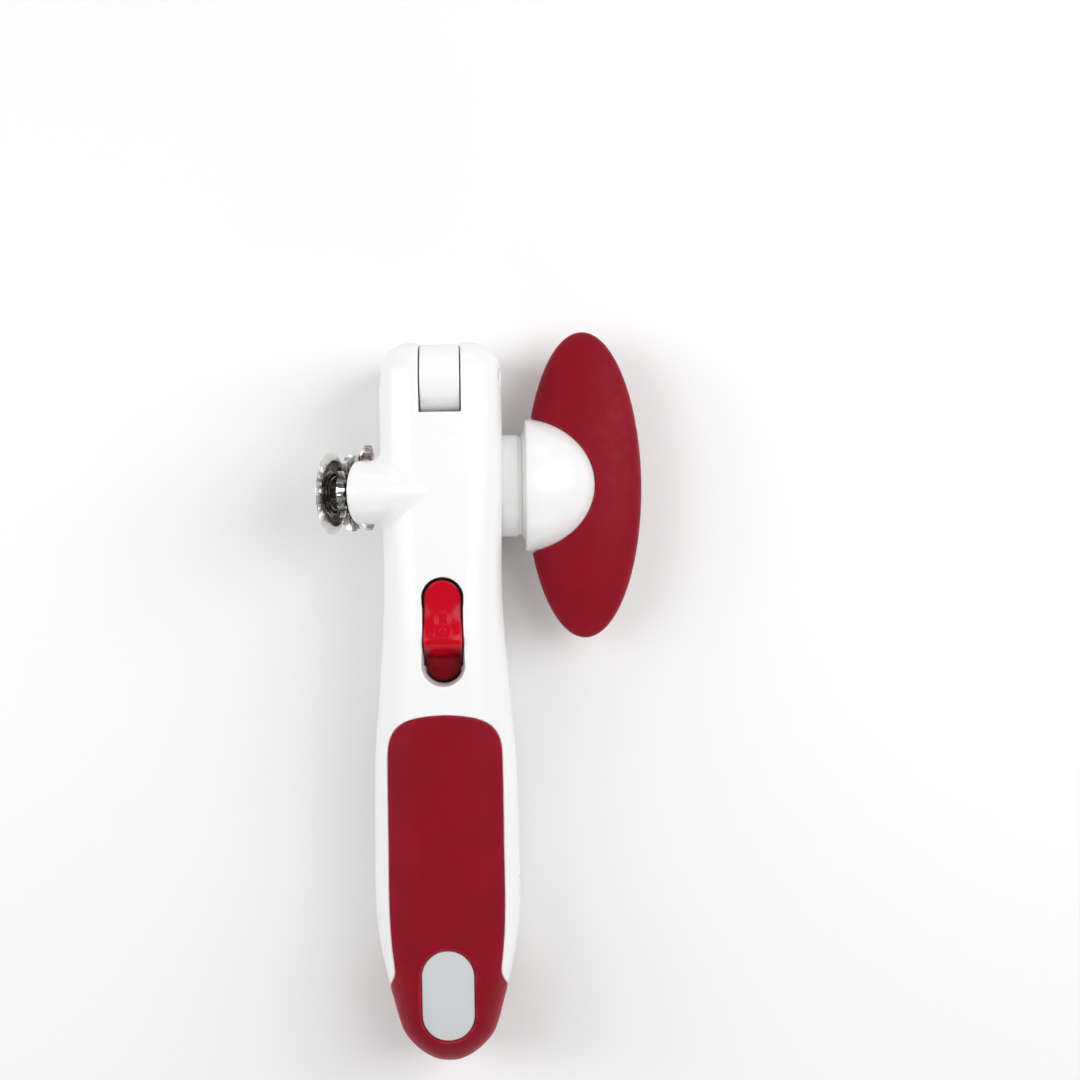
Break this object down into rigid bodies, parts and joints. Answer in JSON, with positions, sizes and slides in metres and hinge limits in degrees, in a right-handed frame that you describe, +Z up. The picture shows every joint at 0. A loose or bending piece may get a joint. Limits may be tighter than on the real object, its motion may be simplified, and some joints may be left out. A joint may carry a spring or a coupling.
{
  "type": "manual can opener",
  "caption": "Hand can opener with two hinged handles, a side knob, a geared cutting wheel, a locking release button and red soft grips.",
  "frame": {"origin": "on the flat under the head, straight below the knob shaft's axis, in the body's mid-plane", "axes": "+X towards the knob, +Y towards the nose, +Z up from the lower half to the upper half"},
  "size_m": [0.0804, 0.1809, 0.0455],
  "materials": {
    "white_plastic": "glossy moulded",
    "inner_plastic": "fine matte moulded",
    "soft_grip": "soft-touch, satin",
    "grey_plastic": "satin",
    "red_plastic": "glossy",
    "polished_steel": "polished, brushed web",
    "plain_steel": "turned",
    "bush_bronze": "sintered",
    "magnet": "nickel plated"
  },
  "bodies": {
    "lower_half": {"lower_shell": "white_plastic", "lower_inner_cover": "inner_plastic", "lower_grip": "soft_grip", "lower_cover_screws": "plain_steel", "drive_bush_left": "bush_bronze", "drive_bush_right": "bush_bronze", "lid_magnet": "magnet", "latch_catch": "plain_steel", "catch_screw": "plain_steel"},
    "upper_half": {"upper_shell": "white_plastic", "upper_inner_cover": "inner_plastic", "upper_grip": "soft_grip", "end_plate": "grey_plastic", "upper_cover_screws": "plain_steel", "hinge_pin": "plain_steel", "cutter_axle": "plain_steel", "cutter_washer": "plain_steel", "lever_pin": "plain_steel", "button_spring": "plain_steel"},
    "cutter": {"cutting_wheel": "polished_steel", "cutter_gear": "polished_steel"},
    "knob": {"drive_shaft": "plain_steel", "shaft_washer": "plain_steel", "drive_gear": "polished_steel", "feed_wheel": "polished_steel", "knob_collar": "white_plastic", "knob_hub": "white_plastic", "knob_grip": "soft_grip"},
    "release_lever": {"release_button": "red_plastic", "latch_hook": "plain_steel"}
  },
  "joints": [
    {"name": "handle_hinge", "type": "hinge", "parent": "lower_half", "child": "upper_half", "pos_m": [0, 0.026, 0.0348], "axis": [-1, 0, 0], "range_deg": [0, 20]},
    {"name": "knob_spin", "type": "hinge", "parent": "lower_half", "child": "knob", "pos_m": [0, 0, 0.0175], "axis": [1, 0, 0], "continuous": true},
    {"name": "cutter_spin", "type": "hinge", "parent": "upper_half", "child": "cutter", "pos_m": [-0.0267, -0.0017, 0.0345], "axis": [0.9511, 0, 0.309], "continuous": true},
    {"name": "release_press", "type": "hinge", "parent": "upper_half", "child": "release_lever", "pos_m": [0, -0.0445, 0.0336], "axis": [-1, 0, 0], "range_deg": [0, 9], "stiffness_Nm_per_rad": 0.3, "springref_deg": -5.73, "deforming": ["button_spring"]}
  ],
  "couplings": [
    {"joint": "cutter_spin", "follows": "knob_spin", "ratio": -1.1}
  ]
}
